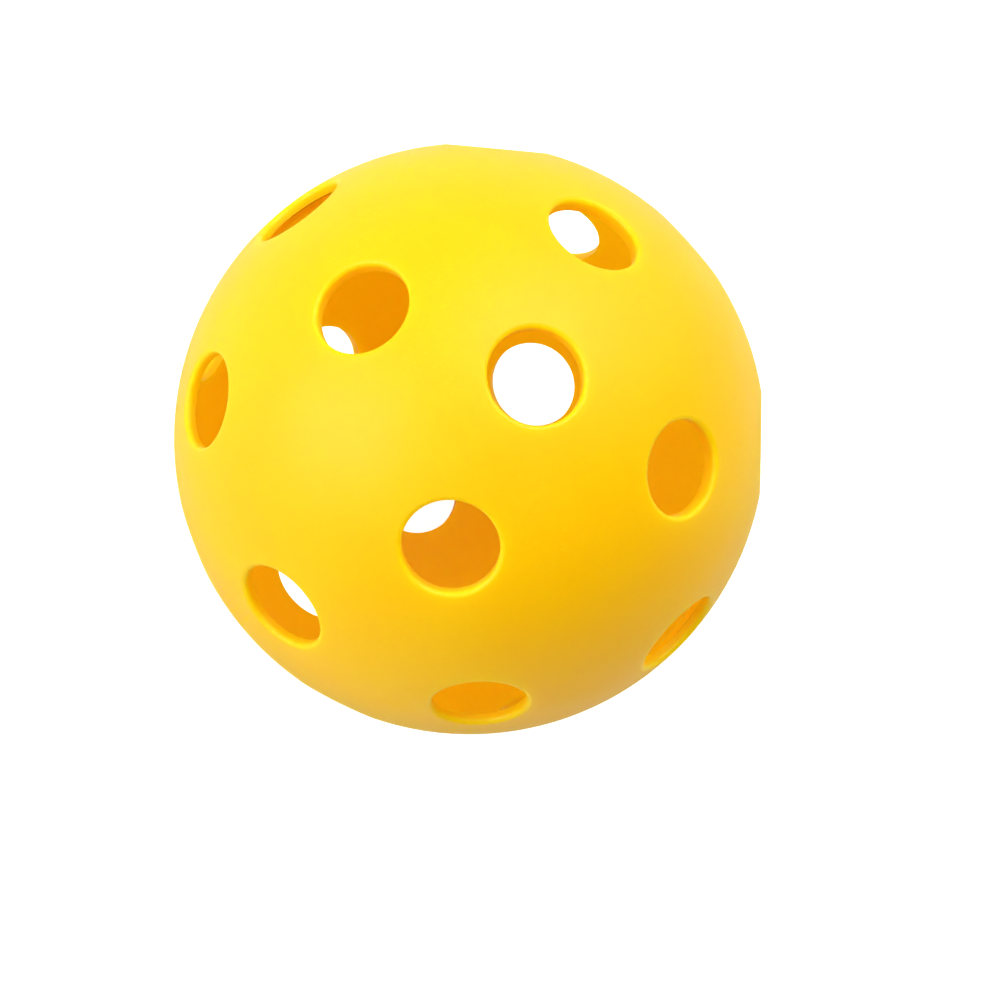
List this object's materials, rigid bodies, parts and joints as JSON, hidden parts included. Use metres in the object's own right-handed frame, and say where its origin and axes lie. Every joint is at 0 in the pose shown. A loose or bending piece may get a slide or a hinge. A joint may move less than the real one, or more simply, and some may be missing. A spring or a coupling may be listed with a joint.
{
  "type": "pickleball ball",
  "caption": "Hollow perforated plastic ball for pickleball: two moulded half shells with round holes, joined at the equator by a stepped lap and an inner weld bead.",
  "frame": {"origin": "centre of the ball", "axes": "+Z out through the upper half's pole hole; the two halves meet in the XY plane; +X at the azimuth of one of the four holes around the upper pole"},
  "size_m": [0.074, 0.074, 0.073],
  "materials": {
    "ball_plastic": "satin yellow polyethylene",
    "weld_plastic": "satin, remelted polyethylene"
  },
  "bodies": {
    "root": {"upper_half_shell": "ball_plastic", "lower_half_shell": "ball_plastic", "weld_bead": "weld_plastic"}
  },
  "joints": []
}
